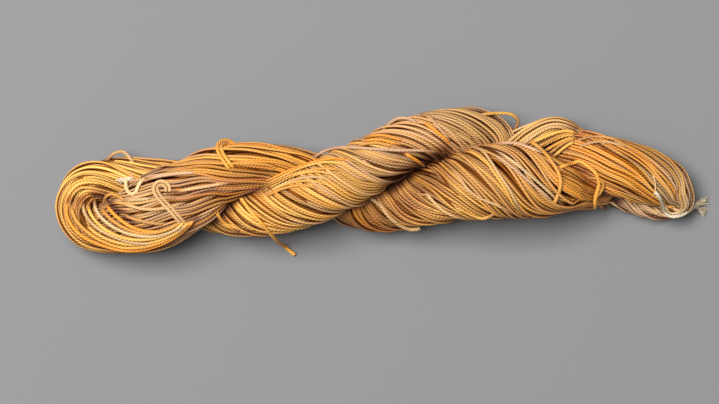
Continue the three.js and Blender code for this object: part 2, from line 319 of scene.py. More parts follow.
# Slack turns that stand off the others, seen from above: x and y
Slack = namedtuple("Slack", "dye diameter route")
SLACK = [
    Slack("tan", 1.9, [(-127.5, 8), (-124, 12), (-119.5, 13.5), (-116.5, 11.5), (-114, 8.5), (-111, 5.5)]),
    Slack("amber", 1.8, [(-74, -11.5), (-73, -16.5), (-70.5, -20), (-67, -22.8), (-63.5, -24)]),
    Slack("mauve", 1.6, [
        (-33.5, 6), (-30, 9), (-25.5, 12.5), (-20, 14.5), (-13, 15), (-5.5, 14.5), (2, 14), (10.5, 13.5),
        (19, 13.5), (28.5, 13), (32.5, 12.5),
    ]),
    Slack("taupe", 1.7, [
        (19, 28.5), (22.5, 30), (25.5, 28.5), (29, 24.5), (33, 20), (35.5, 16), (37.5, 14),
    ]),
    Slack("orange", 1.8, [(18, 27.4), (22, 26.6), (25.5, 24.6), (29.5, 21.3), (34, 17.4), (37.5, 13.6)]),
    Slack("mauve", 1.7, [(2.5, 21), (6, 25.5), (10, 28.3), (14.5, 28.5), (19, 26.5), (22.5, 23)]),
    Slack("orange", 1.8, [(-9.5, 16), (-4, 18), (2, 18.5), (8.5, 17), (16, 16)]),
    Slack("honey", 1.6, [(-12, 13.6), (-6.5, 16), (0, 17), (7, 15.8), (14, 14.6)]),
    Slack("orange", 1.6, [(-8, 18.3), (-2, 20.2), (4, 20.4), (11, 18.6), (18, 17)]),
    Slack("orange", 1.7, [(12, 13), (17.5, 10), (23, 6.4)]),
    Slack("tan", 1.7, [
        (41, 15.5), (44.2, 15.6), (49.6, 13.5), (53.5, 8.1), (57.5, 1.7), (61.9, -4.7), (65.4, -11.1),
        (69.3, -15), (73, -16.6),
    ]),
    Slack("gold", 1.6, [
        (43.5, 14), (47.5, 12.5), (51.3, 8.4), (55.5, 2.2), (60, -4.4), (63.6, -11), (67.6, -15),
        (71.4, -16.8),
    ]),
    Slack("tan", 1.6, [
        (31.5, 8.7), (38.4, 1.3), (42.9, -4.6), (48.3, -8.6), (55.7, -11.6), (61.7, -14.6), (67.6, -16.5),
    ]),
    Slack("ecru", 1.6, [
        (51.1, 15.5), (57.5, 12.6), (64.4, 7.7), (71.8, 1.7), (79.2, -4.7), (84.1, -9.1), (89, -13.5),
    ]),
    Slack("mauve", 1.6, [
        (49, 14.6), (56, 10.9), (63, 5.8), (70.3, -0.2), (77.5, -6.2), (82.5, -10.6), (87.5, -14.6),
    ]),
    Slack("tan", 1.7, [
        (20, 0.5), (22.5, -4), (25.5, -8.5), (30.5, -13.5), (35.5, -16.5), (41, -18), (46, -18.5),
    ]),
    Slack("gold", 1.8, [(32, -11), (39.5, -14), (46, -17), (50.5, -18), (55, -16), (58, -14)]),
    Slack("gold", 1.7, [(45, 29.5), (53, 31), (61, 31.3), (64.5, 30.5), (67, 28.5), (67, 26), (65.5, 23.5)]),
    Slack("bronze", 1.4, [
        (88.5, 13), (92.4, 17), (97, 19.2), (102.5, 20.2), (108.7, 19.7), (115, 17.8), (121.2, 15),
    ]),
    Slack("tan", 1.4, [
        (90.5, 10.5), (94.5, 14.3), (99, 16.8), (104.5, 17.8), (110.5, 17.2), (117, 15.3), (124, 12.5),
    ]),
    Slack("cream", 0.8, [(127, -10), (130.5, -7), (131, -3), (130, 1.5), (127, 5.5)]),
    Slack("honey", 1.6, [
        (97, 1.5), (99.8, 0.9), (103.5, 0.4), (106.6, -2.2), (105, -6.4), (102.4, -9.5), (101.9, -12.6),
    ]),
    Slack("amber", 1.7, [
        (108, -1.5), (105.5, -3.5), (103, -6.5), (103.5, -9.5), (106, -12), (108.5, -13.5),
    ]),
    Slack("honey", 1.7, [
        (-128, -11.5), (-127.1, -9.5), (-125.5, -7.4), (-122.9, -6.7), (-120.2, -7.6), (-117, -9.5),
        (-114, -11.5),
    ]),
    Slack("mauve", 1.8, [(53, 16), (57.5, 17), (65.5, 17), (71.5, 15), (78.5, 12.5), (84.5, 11.5)]),
    Slack("mauve", 1.8, [(-111.4, -1.7), (-101.5, 1.4), (-89.1, 3), (-76.6, 3)]),
    Slack("tan", 1.8, [(-124.4, -9.5), (-116.1, -11.6), (-106.7, -13.7), (-97.4, -13.1), (-84.9, -9.5)]),
    Slack("bronze", 1.8, [(-121.3, -14.7), (-111.9, -18.3), (-101.5, -20.4), (-93.2, -19.9)]),
    Slack("taupe", 1.8, [(-97.4, -6.4), (-84.9, -4.3), (-72.5, -2.2), (-62.1, -0.2)]),
    Slack("ecru", 1.8, [(-119.2, -9.8), (-108.8, -9.2), (-101.5, -8.2)]),
    Slack("chalk", 1.3, [
        (132.7, -10.8), (134.8, -12.2), (136.3, -14.6), (138.6, -16.7), (142.4, -16.3), (146.2, -14.4),
        (149.5, -12.5),
    ]),
    Slack("cream", 1.3, [(131.1, -11.3), (132.5, -13.4), (134.8, -15.5), (138.1, -17.1), (142.4, -16.5)]),
    Slack("ecru", 1.3, [
        (133.9, -9.9), (136.3, -11.5), (137.7, -13.9), (140, -15.8), (143.8, -15.1), (147.6, -13.4),
    ]),
]
# Sheaves of turns laid over the others, seen from above; they spread evenly from the first line to the last
# late is 0, or more than the number of steps by which any turn starts late
# nest is the range of the share of its height over the turns that is left as one settles
Sheaf = namedtuple("Sheaf", "first last dyes diameter late nest root_length")
# Out of the eye of the fold, across the others
LOBE = Sheaf(
    first=[
        (-127.5, -9), (-125.5, -12.4), (-122.4, -15.8), (-116.5, -20), (-110.3, -22.7), (-102.5, -23.9),
        (-94.6, -22.3), (-89.6, -18.8),
    ],
    last=[
        (-143.4, -8.8), (-144.6, -14), (-143.3, -19.3), (-139.8, -24.2), (-134, -28.4), (-126, -31.6),
        (-117, -33.2), (-107.5, -32.4), (-98, -29.3), (-89.5, -24.2), (-82.5, -17.2),
    ],
    dyes=["orange", "honey", "ecru", "gold", "tan", "gold", "amber", "orange"],
    diameter=1.25 * TURN, late=6, nest=(0.6, 1.2), root_length=SHORT_ROOT,
)
# Under the end loop
FAN = Sheaf(
    first=[(71.5, 16.4), (80, 20.2), (85.8, 22.2), (91, 22.6), (96, 20.5)],
    last=[(82, 10.2), (85, 12.8), (88.2, 15.4), (91.5, 17.4), (96, 18.4)],
    dyes=["gold", "honey", "gold", "amber", "honey", "gold"],
    diameter=1.1 * TURN, late=0, nest=(0.7, 1.2), root_length=SHORT_ROOT,
)
# Along the upper edge of the middle stretch and then over it
EDGE = Sheaf(
    first=[
        (-56.5, -2.8), (-47.2, 1.4), (-38.9, 5), (-29.5, 8.1), (-20.2, 9.9), (-11.9, 9.2), (-4.6, 6.6),
    ],
    last=[
        (-56.5, -11.8), (-49.3, -7.4), (-44.1, -4.8), (-38.9, -3.3), (-32.7, -2.8), (-26.4, -4.3),
        (-19.2, -8),
    ],
    dyes=["orange", "gold", "honey", "gold", "tan", "gold", "honey"],
    diameter=TURN, late=0, nest=(0.4, 0.8), root_length=ROOT_LENGTH,
)

# Creases and shaded sides: the light left there, how far the shade reaches, and its line seen from above
Crease = namedtuple("Crease", "light reach line")
CREASES = [
    Crease(0.13, 7, [(7, -4), (12, -0.5), (17, 3.2), (22, 6.8), (27, 10), (32, 12.5)]),
    Crease(0.62, 8.5, [(-93, -7), (-76.5, -4.3), (-62, -0.7), (-51.6, 0.9)]),
    Crease(0.6, 13, [(-12, -27), (0, -19.5), (11, -12.5), (22, -4), (30, 2)]),
    Crease(0.12, 4.5, [(-131.5, -7.2), (-126.6, -7.9), (-122.4, -12.6), (-118.7, -15.6), (-113.1, -19)]),
]

# Dyes of the yarn, as seen in daylight, and the brown of the painted shade inside the bundles
DYES = {
    "gold": (228, 168, 76),
    "straw": (254, 188, 92),
    "honey": (216, 148, 62),
    "orange": (228, 144, 40),
    "amber": (234, 162, 64),
    "taupe": (206, 156, 106),
    "mauve": (208, 162, 122),
    "tan": (210, 164, 108),
    "olive": (206, 160, 94),
    "rust": (218, 130, 50),
    "cream": (238, 194, 138),
    "ecru": (224, 184, 130),
    "chalk": (238, 218, 186),
    "bronze": (202, 144, 78),
    # not a dye of the yarn: the brown of the painted shade inside the bundles
    "shade_umber": (104, 62, 30),
}
# Along a bundle: where, from its first section, the main dye, a second one and the second's share
Patch = namedtuple("Patch", "at main second share")
RING_PATCHES = [
    Patch(0, "honey", "orange", 0.4),
    Patch(60, "bronze", "gold", 0.4),
    Patch(110, "bronze", "honey", 0.5),
    Patch(160, "amber", "orange", 0.5),
    Patch(190, "amber", "orange", 0.4),
    Patch(220, "taupe", "mauve", 0.4),
    Patch(243, "tan", "gold", 0.5),
    # the straw patches are partly the yarn's pale dye and partly painted light, lightening the fold's upper
    # side and the left end of the middle stretch
    Patch(262, "straw", "gold", 0.35),
    Patch(312, "straw", "gold", 0.3),
    Patch(335, "gold", "honey", 0.4),
    Patch(370, "straw", "amber", 0.4),
    Patch(395, "gold", "honey", 0.4),
    Patch(418, "taupe", "gold", 0.4),
    Patch(445, "taupe", "bronze", 0.5),
    Patch(475, "olive", "taupe", 0.5),
    Patch(505, "olive", "gold", 0.6),
    Patch(548, "orange", "rust", 0.5),
    Patch(565, "amber", "orange", 0.5),
    Patch(585, "gold", "tan", 0.4),
    Patch(600, "ecru", "mauve", 0.5),
    Patch(636, "ecru", "mauve", 0.5),
]
LOOP_PATCHES = [
    Patch(0, "honey", "orange", 0.4),
    Patch(80, "gold", "tan", 0.4),
    Patch(115, "ecru", "gold", 0.4),
    Patch(140, "ecru", "gold", 0.4),
]


def linear(name):
    """A dye as linear light."""
    share = np.array(DYES[name]) / 255
    return np.where(share <= 0.04045, share / 12.92, ((share + 0.055) / 1.055) ** 2.4)


def unit(vectors):
    """The same directions with a length of 1."""
    return vectors / np.linalg.norm(vectors, axis=-1, keepdims=True)


def eased(share):
    """From 0 to 1 without a corner at either end."""
    share = np.clip(share, 0, 1)
    return share * share * (3 - 2 * share)


def squeezed(value):
    """A number of any size put between 0 and 1."""
    return 1 / (1 + np.exp(-value))


def spline(points, step, dimensions=3):
    """A smooth curve in even steps through rows that start with a place, and the length at each step."""
    rows = np.array(points, float)
    ends = np.vstack([2 * rows[0] - rows[1], rows, 2 * rows[-1] - rows[-2]])
    place = np.linspace(0, len(rows) - 1, SPLINE_PARTS * (len(rows) - 1) + 1)
    start = np.minimum(place.astype(int), len(rows) - 2)
    share = (place - start)[:, None]
    a, b, c, d = (ends[start + i] for i in range(4))
    curve = b + 0.5 * share * (c - a + share * (2 * a - 5 * b + 4 * c - d + share * (3 * (b - c) + d - a)))
    steps = np.linalg.norm(np.diff(curve[:, :dimensions], axis=0), axis=1)
    along = np.append(0, np.cumsum(steps))
    even = np.linspace(0, along[-1], max(2, round(along[-1] / step) + 1))
    return np.column_stack([np.interp(even, along, column) for column in curve.T]), even


def drift(rng, count, along, wavelength):
    """Smooth random numbers along each of several strands."""
    place = along / wavelength + rng.random((count, 1))
    start = place.astype(int)
    share = eased(place - start)
    knots = rng.standard_normal((count, start.max() + 2))
    before = np.take_along_axis(knots, start, 1)
    after = np.take_along_axis(knots, start + 1, 1)
    return before * (1 - share) + after * share


Bundle = namedtuple("Bundle", "centre side rise wide tall turn along")


def bundle(rows):
    """The sections of a bundle in even steps, with the turn that its twist has made so far."""
    curve, along = spline(rows, BUNDLE_STEP)
    centre = curve[:, :3]
    tangent = unit(np.gradient(centre, axis=0))
    side = unit(np.cross([0, 0, 1], tangent))
    wide, tall, twist = curve[:, 3:].T
    turn = -2 * np.pi / TWIST_LENGTH * np.append(0, np.cumsum(twist[1:] * np.diff(along)))
    return Bundle(centre, side, np.cross(tangent, side), wide, tall, turn, along)


def shrunk(sections, depth):
    """The same bundle that much smaller all round."""
    wide = np.maximum(sections.wide - depth, LEAST_UNDER)
    return sections._replace(wide=wide, tall=np.maximum(sections.tall - depth, LEAST_UNDER))


def far_part(sections):
    """The sections past the first stretch, with lengths that are far from those of any other bundle."""
    far = Bundle(*(values[sections.along > NEXT_STRETCH] for values in sections))
    return far._replace(along=far.along + OTHER_BUNDLE)


Strands = namedtuple("Strands", "centre out")


def lay_turns(sections, count, rng):
    """Strands round a bundle: those with room lie at its surface, others dive, and a few stand off."""
    along = sections.along[None, :]
    lock = np.arange(count) // LOCK

    def wave(kind):
        together = drift(rng, lock[-1] + 1, along, kind.length)[lock]
        return kind.size * (TOGETHER * together + ALONE * drift(rng, count, along, kind.length))

    lean = np.hypot(1, sections.wide * np.gradient(sections.turn, sections.along))
    room = 2 * np.pi * sections.wide / lean / TURN_PITCH
    rank = squeezed(wave(RANK))
    seen = eased((room / count - rank) / RANK_EDGE + 0.5)
    loose = eased(drift(rng, count, along, LOOSE_LENGTH) - LOOSE_FROM) * seen
    weight = LEAST_ROOM + (1 - LEAST_ROOM) * seen * (1 - ROOM_LOST * loose)
    seat = np.cumsum(weight, axis=0) - weight / 2 + wave(SEAT)
    seat += LOOSE_SEAT.size * loose * drift(rng, count, along, LOOSE_SEAT.length)
    angle = 2 * np.pi * seat / weight.sum(axis=0) + sections.turn
    sink = TURN / 2 + DIVE * (1 - seen) - RISE * loose - wave(HEIGHT)
    sink -= KINK.size * drift(rng, count, along, KINK.length)
    across = np.maximum(sections.wide - sink, LEAST_RADIUS) * np.cos(angle)
    high = np.maximum(sections.tall - sink, LEAST_RADIUS) * np.sin(angle)
    out = across[..., None] * sections.side + high[..., None] * sections.rise
    centre = sections.centre + out
    centre[..., 2] = np.maximum(centre[..., 2], TABLE_GAP)
    return Strands(centre, out)


def upright(centre):
    """A normal of a curve at each point, as near upright as it can be."""
    tangent = unit(np.gradient(centre, axis=0))
    return unit(NEARLY_UP - tangent * (tangent @ NEARLY_UP)[:, None])


def rooted(route):
    """A route that starts down between the turns it comes out of, further back where it then falls."""
    first, second = np.array(route[0]), np.array(route[1])
    fall = max(first[2] - second[2], 0)
    back = unit(first - second) * (1, 1, 0) * (ROOT_DEPTH / 2 + fall)
    return [tuple(first + back - (0, 0, ROOT_DEPTH)), *route]


def along_route(route, doubled):
    """One yarn along a route, or two side by side."""
    centre, _ = spline(route, YARN_STEP)
    out = upright(centre)
    if not doubled:
        return Strands(centre[None], out[None])
    apart = (DOUBLED / 4) * np.cross(unit(np.gradient(centre, axis=0)), out)
    return Strands(np.stack([centre - apart, centre + apart]), np.stack([out, out]))


def tie_strands(tie):
    """The yarn of a tie along its route, rooted where it goes into the hank, and cut back where it frays."""
    sunk = np.arange(len(tie.route)) < tie.sunk
    route = rooted(np.add(tie.route, np.outer(tie.lift - ROOT_DEPTH * sunk, (0, 0, 1))))
    if tie.far_end == "object":
        route = rooted(route[::-1])[::-1]
    strands = along_route(route, tie.diameter == DOUBLED)
    if tie.name not in FRAYS:
        return strands
    kept = slice(None, -FRAYS[tie.name].steps)
    return Strands(strands.centre[:, kept], strands.out[:, kept])


def frayed(centre, headings, rng):
    """The fibres that spread from the cut end of a yarn, these ways or straight on."""
    ways = unit(np.array(headings or [centre[-1] - centre[-3]], float))
    shares = np.linspace(-FRAY_BACK, 1, FRAY_POINTS)[:, None]
    fibres = []
    for k in range(FRAY_FIBRES):
        heading = ways[k % len(ways)]
        bend = FRAY_BEND * rng.standard_normal(3)
        ahead = shares * FRAY_LENGTH * rng.uniform(*FRAY_SHARES)
        start = centre[-1] + FRAY_SPREAD * rng.standard_normal(3)
        fibres.append(start + ahead * heading + ahead * np.abs(ahead) / FRAY_LENGTH * bend)
    fibres = np.array(fibres)
    fibres[..., 2] = np.maximum(fibres[..., 2], FRAY_LOWEST)
    return Strands(fibres, np.array([upright(fibre) for fibre in fibres]))


def laid_on(turns, flat, diameter, nest, root_length):
    """A slack yarn over the turns, along a curve seen from above, and how far down between them it is.

    It goes down at both ends. nest is the share of its height over the turns that is left as it settles.
    """
    apart = np.linalg.norm(turns[None, :, :2] - flat[:, None], axis=-1)
    under = np.where(apart < TURN, turns[None, :, 2], 0).max(axis=1)
    along = np.append(0, np.cumsum(np.linalg.norm(np.diff(flat, axis=0), axis=1)))
    level = np.interp(along, along[under > 0], under[under > 0])
    kernel = np.ones(SETTLE_POINTS) / SETTLE_POINTS
    for _ in range(SETTLE_PASSES):
        level = np.convolve(np.pad(level, SETTLE_POINTS // 2, mode="edge"), kernel, mode="valid")
    root = 1 - eased(np.minimum(along, along[-1] - along) / min(root_length, ROOT_MOST * along[-1]))
    centre = np.column_stack([flat, level + nest * (TURN + diameter) / 2 - ROOT_DEPTH * root])
    return Strands(centre[None], upright(centre)[None]), root[None]


def swaying(flat, rng):
    """A curve seen from above that wavers a little to either side."""
    heading = unit(np.gradient(flat, axis=0))
    sway = drift(rng, 1, YARN_STEP * np.arange(len(flat))[None], SWAY.length)[0]
    return flat + SWAY.size * sway[:, None] * np.column_stack([-heading[:, 1], heading[:, 0]])


def fanned(sheaf):
    """Curves seen from above that spread evenly from the first line of a sheaf to its last."""
    ends = []
    for line in (sheaf.first, sheaf.last):
        fine, _ = spline(line, SHEAF_STEP, 2)
        ends.append(fine[np.linspace(0, len(fine) - 1, SHEAF_POINTS).astype(int)])
    shares = np.linspace(0, 1, len(sheaf.dyes))
    return [spline((1 - share) * ends[0] + share * ends[1], YARN_STEP, 2)[0] for share in shares]


Laid = namedtuple("Laid", "flat diameter dye nest root_length")


def sheaf_turns(sheaf, rng):
    """The turns of a sheaf, each of which wavers, starts where it may and settles by itself."""
    laid = []
    for flat, dye in zip(fanned(sheaf), sheaf.dyes):
        flat = swaying(flat, rng)
        if sheaf.late:
            flat = flat[rng.integers(sheaf.late):]
        laid.append(Laid(flat, sheaf.diameter, dye, rng.uniform(*sheaf.nest), sheaf.root_length))
    return laid


def dyed(along, count, patches, rng):
    """The colour along each strand: the patches, shifted on each, with streaks of their second dyes."""
    at = [patch.at for patch in patches]
    place = along[None, :] + DYE_SHIFT * rng.standard_normal((count, 1))

    def column(values):
        return np.interp(place, at, values)

    def dye(kind):
        chosen = np.array([linear(getattr(patch, kind)) for patch in patches])
        return np.stack([column(channel) for channel in chosen.T], axis=-1)

    share = column([patch.share for patch in patches])
    streak = drift(rng, count, along[None, :], STREAK_LENGTH) + STREAK_OWN * rng.standard_normal((count, 1))
    amount = squeezed(STREAK_EDGE * (streak + STREAK_PULL * (share - 0.5)))[..., None]
    colour = dye("main") * (1 - amount) + dye("second") * amount
    shade = 1 + TONE_OWN * rng.standard_normal((count, 1))
    shade = shade + TONE.size * drift(rng, count, along[None, :], TONE.length)
    return colour * np.clip(shade, *TONE_LIMITS)[..., None]


def plain_dye(strands, name, rng):
    """One dye along strands, a little uneven."""
    count, rings, _ = strands.centre.shape
    shade = 1 + PLAIN_TONE.size * drift(rng, count, YARN_STEP * np.arange(rings)[None], PLAIN_TONE.length)
    shade = shade + PLAIN_TONE_OWN * rng.standard_normal((count, 1))
    return shade[..., None] * linear(name)


def shaded(light):
    """The part of a dye that shows in little light, which is browner the darker it is."""
    return np.maximum(light, LEAST_LIGHT)[..., None] ** SHADE_TINT


def contact_light(turns, own, sections):
    """How much light reaches turns of a bundle: little where sections of another stretch are close.

    The shade is deepest on the side of the upper stretch that is turned away from the light.
    """
    light = np.ones(turns.centre.shape[:2])
    for k in range(0, len(sections.along), CONTACT_STRIDE):
        offset = turns.centre - sections.centre[k]
        size = min(sections.wide[k], sections.tall[k])
        across = offset @ sections.side[k] / sections.wide[k]
        high = offset @ sections.rise[k] / sections.tall[k]
        ahead = offset @ np.cross(sections.side[k], sections.rise[k])
        gap = (np.hypot(across, high) - 1) * size
        beside = (np.abs(ahead) < CONTACT_SLICE) & (np.abs(own.along - sections.along[k]) > NEXT_STRETCH)
        below = own.centre[:, 2] < sections.centre[k, 2]
        facing = unit(np.where(below[:, None], offset, turns.out)[..., :2]) @ AWAY
        shade = (EVEN_SHADE + AWAY_SHADE * facing) * (1 - eased(gap / CONTACT_REACH))
        light = np.where(beside, np.minimum(light, 1 - shade), light)
    return light


def crease_light(turns):
    """How much light reaches turns in the creases and under the sheaf out of the eye of the fold."""
    light = np.ones(turns.centre.shape[:2])
    covers = [Crease(COVER_LIGHT, COVER_REACH, line) for line in fanned(LOBE)]
    upper = turns.out[..., 2] > 0
    for crease in CREASES + covers:
        line, _ = spline(crease.line, BUNDLE_STEP, 2)
        apart = np.min([np.linalg.norm(turns.centre[..., :2] - point, axis=-1) for point in line], axis=0)
        shade = crease.light + (1 - crease.light) * eased(apart / crease.reach)
        light = np.where(upper, np.minimum(light, shade), light)
    return light


def ring_light(turns, ring, loop):
    """How much light reaches the turns of the ring, beside other stretches and in the creases."""
    beside = np.minimum(contact_light(turns, ring, ring), contact_light(turns, ring, far_part(loop)))
    return np.minimum(beside, crease_light(turns))


def uneven(strands, rng):
    """The diameters along hand-spun turns, which are thick here and thin there."""
    count, rings, _ = strands.centre.shape
    slub = drift(rng, count, BUNDLE_STEP * np.arange(rings)[None], SLUB.length)
    return TURN * np.clip(1 + SLUB_OWN * rng.standard_normal((count, 1)) + SLUB.size * slub, *SLUB_LIMITS)


Tube = namedtuple("Tube", "centre first second colour sides")


def yarn_tube(strands, diameter, colour, sides=YARN_SIDES):
    """Round yarn along strands; first and second are the two radii of its section."""
    tangent = unit(np.gradient(strands.centre, axis=1))
    first = unit(strands.out - (strands.out * tangent).sum(-1, keepdims=True) * tangent)
    radius = np.asarray(diameter)[..., None] / 2
    return Tube(strands.centre, radius * first, radius * np.cross(tangent, first), colour, sides)


def tube_faces(count, rings, sides):
    """Triangles of the walls of closed tubes, whose points go ring by ring, and those of their ends."""
    base = (np.arange(count) * rings * sides)[:, None, None]
    row = (np.arange(rings - 1) * sides)[None, :, None]
    here = np.arange(sides)
    near, near_next = base + row + here, base + row + (here + 1) % sides
    far, far_next = near + sides, near_next + sides
    walls = np.stack([near, near_next, far, near_next, far_next, far], axis=-1).reshape(-1, 3)
    first = base.ravel()
    last = first + (rings - 1) * sides
    caps = [np.column_stack([first, first + k + 1, first + k]) for k in range(1, sides - 1)]
    caps += [np.column_stack([last, last + k, last + k + 1]) for k in range(1, sides - 1)]
    return walls, np.concatenate(caps)


def wall_coordinates(along, sides):
    """For each corner of the walls, the length along the yarn and the share of the way round it."""
    shape = (along.shape[0], along.shape[1] - 1, sides)
    low = np.broadcast_to(along[:, :-1, None], shape)
    high = np.broadcast_to(along[:, 1:, None], shape)
    left = np.broadcast_to(np.arange(sides) / sides, shape)
    right = left + 1 / sides
    spots = [(low, left), (low, right), (high, left), (low, right), (high, right), (high, left)]
    return np.stack([np.stack(spot, axis=-1) for spot in spots], axis=-2).reshape(-1, 2)


def lay_lengths(centre):
    """Lengths along strands as the plies count them, which are wound a little tighter or looser on each."""
    strand = np.arange(len(centre))[:, None]
    steps = np.linalg.norm(np.diff(centre, axis=1), axis=-1)
    along = np.concatenate([np.zeros(strand.shape), np.cumsum(steps, axis=1)], axis=1)
    return along * (LAY_LEAST + LAY_SPREAD * (LAY_SHARE * strand % 1)) + LAY_SHIFT * strand


def tube_parts(tube):
    """Points, triangles, corner coordinates and colours of the closed tubes of one set of strands."""
    count, rings, _ = tube.centre.shape
    corner = (2 * np.pi * np.arange(tube.sides) / tube.sides)[:, None]
    ring = np.cos(corner) * tube.first[:, :, None] + np.sin(corner) * tube.second[:, :, None]
    points = tube.centre[:, :, None] + ring
    colour = np.broadcast_to(tube.colour[:, :, None], points.shape)
    walls, caps = tube_faces(count, rings, tube.sides)
    on_walls = wall_coordinates(lay_lengths(tube.centre), tube.sides)
    coordinates = np.vstack([on_walls, np.zeros((caps.size, 2))])
    return points.reshape(-1, 3), np.vstack([walls, caps]), coordinates, colour.reshape(-1, 3)


def triangle_mesh(name, points, faces):
    """A mesh of triangles."""
    mesh = bpy.data.meshes.new(name)
    mesh.vertices.add(len(points))
    mesh.vertices.foreach_set("co", points.astype(np.float32).ravel())
    mesh.loops.add(faces.size)
    mesh.loops.foreach_set("vertex_index", faces.astype(np.int32).ravel())
    mesh.polygons.add(len(faces))
    mesh.polygons.foreach_set("loop_start", np.arange(0, faces.size, 3, dtype=np.int32))
    mesh.update(calc_edges=True)
    return mesh


def tube_object(name, tubes, material):
    """One mesh object of several sets of tubes, in the frame of the part."""
    points, faces, coordinates, colours = zip(*(tube_parts(tube) for tube in tubes))
    starts = np.cumsum([0, *(len(own) for own in points[:-1])])
    faces = np.concatenate([own + start for own, start in zip(faces, starts)])
    points = (np.concatenate(points) - MIDDLE) * MM
    mesh = triangle_mesh(name, points, faces)
    uv = mesh.uv_layers.new(name="yarn")
    uv.uv.foreach_set("vector", np.concatenate(coordinates).astype(np.float32).ravel())
    # the colour attribute holds each strand's dye with its painted shade multiplied in
    dye = mesh.color_attributes.new("dye", "FLOAT_COLOR", "POINT")
    rgba = np.column_stack([np.concatenate(colours), np.ones(len(points))])
    dye.data.foreach_set("color", rgba.astype(np.float32).ravel())
    mesh.shade_smooth()
    mesh.materials.append(material)
    made = bpy.data.objects.new(name, mesh)
    bpy.context.scene.collection.objects.link(made)
    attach(made, "root")
    return made


def new_material(name):
    """A material, its node tree and its shader."""
    material = bpy.data.materials.new(name)
    material.use_nodes = True
    return material, material.node_tree, material.node_tree.nodes["Principled BSDF"]


def calculated(tree, operation, *values):
    """A node that calculates with numbers and other nodes' outputs."""
    node = tree.nodes.new("ShaderNodeMath")
    node.operation = operation
    for socket, value in zip(node.inputs, values):
        if isinstance(value, bpy.types.NodeSocket):
            tree.links.new(value, socket)
        else:
            socket.default_value = value
    return node.outputs["Value"]


def ranged(tree, value, low, high):
    """A value between 0 and 1 put between these two."""
    return calculated(tree, "MULTIPLY_ADD", value, high - low, low)


def yarn_patterns(tree):
    """The plies wound round each other, the fibres along them, and how far a spot is turned outward."""
    spot = tree.nodes.new("ShaderNodeUVMap")
    spot.uv_map = "yarn"
    split = tree.nodes.new("ShaderNodeSeparateXYZ")
    tree.links.new(spot.outputs["UV"], split.inputs["Vector"])
    phase = calculated(tree, "MULTIPLY_ADD", split.outputs["X"], 1 / PLY_LAY, split.outputs["Y"])
    wound = calculated(tree, "COSINE", calculated(tree, "MULTIPLY", phase, np.pi * PLIES))
    outward = calculated(tree, "COSINE", calculated(tree, "MULTIPLY", split.outputs["Y"], 2 * np.pi))

    stretch = tree.nodes.new("ShaderNodeMapping")
    stretch.inputs["Scale"].default_value = FIBRE_STRETCH
    fibre = tree.nodes.new("ShaderNodeTexNoise")
    fibre.inputs["Scale"].default_value = 1
    fibre.inputs["Detail"].default_value = FIBRE_DETAIL
    tree.links.new(spot.outputs["UV"], stretch.inputs["Vector"])
    tree.links.new(stretch.outputs["Vector"], fibre.inputs["Vector"])
    return calculated(tree, "ABSOLUTE", wound), fibre.outputs["Fac"], outward


def dye_with_painted_gap_shade(tree, outward, painted_gap_shade):
    """The dye of each strand, with painted shade that deepens towards its inner side, where the gaps are."""
    # the colour attribute: the dye with its painted shade already multiplied in
    dye = tree.nodes.new("ShaderNodeAttribute")
    dye.attribute_name = "dye"
    lit = tree.nodes.new("ShaderNodeMix")
    lit.data_type = "VECTOR"
    lit.inputs["A"].default_value = painted_gap_shade
    lit.inputs["B"].default_value = (1, 1, 1)
    open_share = calculated(tree, "MULTIPLY_ADD", outward, OPEN_SLOPE, OPEN_START)
    tree.links.new(open_share, lit.inputs["Factor"])
    shaded_dye = tree.nodes.new("ShaderNodeVectorMath")
    shaded_dye.operation = "MULTIPLY"
    tree.links.new(dye.outputs["Color"], shaded_dye.inputs[0])
    tree.links.new(lit.outputs["Result"], shaded_dye.inputs[1])
    return shaded_dye.outputs["Vector"]


def yarn_material(name, sheen, painted_gap_shade, relief_depth):
    """Plied linen: the dye of each strand with painted shade on its inner side and between its plies, the
    plies wound round each other, and fine fibres along them.
    """
    material, tree, shader = new_material(name)
    shader.inputs["Specular IOR Level"].default_value = sheen
    ply, fibre, outward = yarn_patterns(tree)
    # the dye darkened by painted shade between the plies and lightened by a painted highlight on their
    # crowns, times the fibres' own tone
    ply_shade_and_fibre_tone = calculated(tree, "MULTIPLY", ranged(tree, ply, *PLY_PAINTED_SHADE), ranged(tree, fibre, *FIBRE_TONE))
    blend = tree.nodes.new("ShaderNodeVectorMath")
    blend.operation = "SCALE"
    tree.links.new(dye_with_painted_gap_shade(tree, outward, painted_gap_shade), blend.inputs[0])
    tree.links.new(ply_shade_and_fibre_tone, blend.inputs["Scale"])
    tree.links.new(blend.outputs["Vector"], shader.inputs["Base Color"])
    tree.links.new(ranged(tree, fibre, *FIBRE_ROUGHNESS), shader.inputs["Roughness"])

    bump = tree.nodes.new("ShaderNodeBump")
    bump.inputs["Strength"].default_value = RELIEF_STRENGTH
    bump.inputs["Distance"].default_value = relief_depth * MM
    tree.links.new(calculated(tree, "MULTIPLY_ADD", fibre, FIBRE_RELIEF, ply), bump.inputs["Height"])
    tree.links.new(bump.outputs["Normal"], shader.inputs["Normal"])
    return material


def make_camera():
    """Straight above the hank, as the picture is taken."""
    data = bpy.data.cameras.new("camera")
    data.sensor_width = SENSOR
    data.lens = SENSOR * CAMERA_HEIGHT / VIEW_WIDTH
    camera = bpy.data.objects.new("camera", data)
    camera.location = (np.array([*CAMERA_AT, CAMERA_HEIGHT]) - MIDDLE) * MM
    bpy.context.scene.collection.objects.link(camera)
    bpy.context.scene.camera = camera


